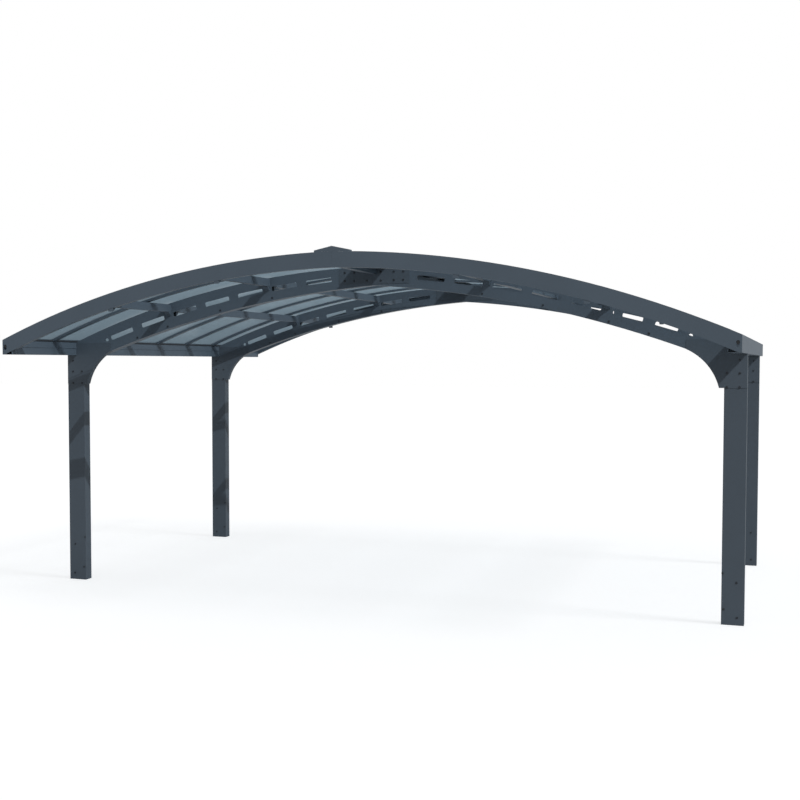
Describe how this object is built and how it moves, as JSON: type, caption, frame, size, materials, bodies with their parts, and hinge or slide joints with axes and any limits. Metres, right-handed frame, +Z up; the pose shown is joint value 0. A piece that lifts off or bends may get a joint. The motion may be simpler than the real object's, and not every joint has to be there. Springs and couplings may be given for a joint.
{
  "type": "double carport",
  "caption": "Free-standing double carport with a curved two-wing roof of translucent sheets on dark grey metal arches and posts",
  "frame": {"origin": "on the ground, midway between the four posts", "axes": "+X across the carport to the right seen from the front, +Y along the eaves to the back, +Z up"},
  "size_m": [5.79, 4.8, 2.8029],
  "materials": {
    "frame_paint": "satin",
    "post_paint": "satin",
    "foot_steel": "satin",
    "sheet": "smooth",
    "bolts": "satin",
    "gasket": "matte"
  },
  "bodies": {
    "root": {"post_front_left": "post_paint", "post_front_right": "post_paint", "post_back_left": "post_paint", "post_back_right": "post_paint", "foot_front_left": "foot_steel", "foot_front_right": "foot_steel", "foot_back_left": "foot_steel", "foot_back_right": "foot_steel", "knee_front_left": "post_paint", "knee_front_right": "post_paint", "knee_back_left": "post_paint", "knee_back_right": "post_paint", "arch_front_left": "frame_paint", "arch_front_right": "frame_paint", "arch_back_left": "frame_paint", "arch_back_right": "frame_paint", "splice_front": "post_paint", "splice_back": "post_paint", "fascia_front_left": "frame_paint", "fascia_front_right": "frame_paint", "fascia_back_left": "frame_paint", "fascia_back_right": "frame_paint", "gutter_left": "frame_paint", "gutter_right": "frame_paint", "purlin_left_lower_front": "frame_paint", "purlin_left_lower_middle": "frame_paint", "purlin_left_lower_back": "frame_paint", "purlin_left_upper_front": "frame_paint", "purlin_left_upper_middle": "frame_paint", "purlin_left_upper_back": "frame_paint", "purlin_right_lower_front": "frame_paint", "purlin_right_lower_middle": "frame_paint", "purlin_right_lower_back": "frame_paint", "purlin_right_upper_front": "frame_paint", "purlin_right_upper_middle": "frame_paint", "purlin_right_upper_back": "frame_paint", "ridge_beam_front": "frame_paint", "ridge_beam_middle": "frame_paint", "ridge_beam_back": "frame_paint", "ridge_cap": "frame_paint", "ridge_end_covers": "frame_paint", "bars_left": "frame_paint", "bars_right": "frame_paint", "sheets_left": "sheet", "sheets_right": "sheet"}
  },
  "joints": []
}
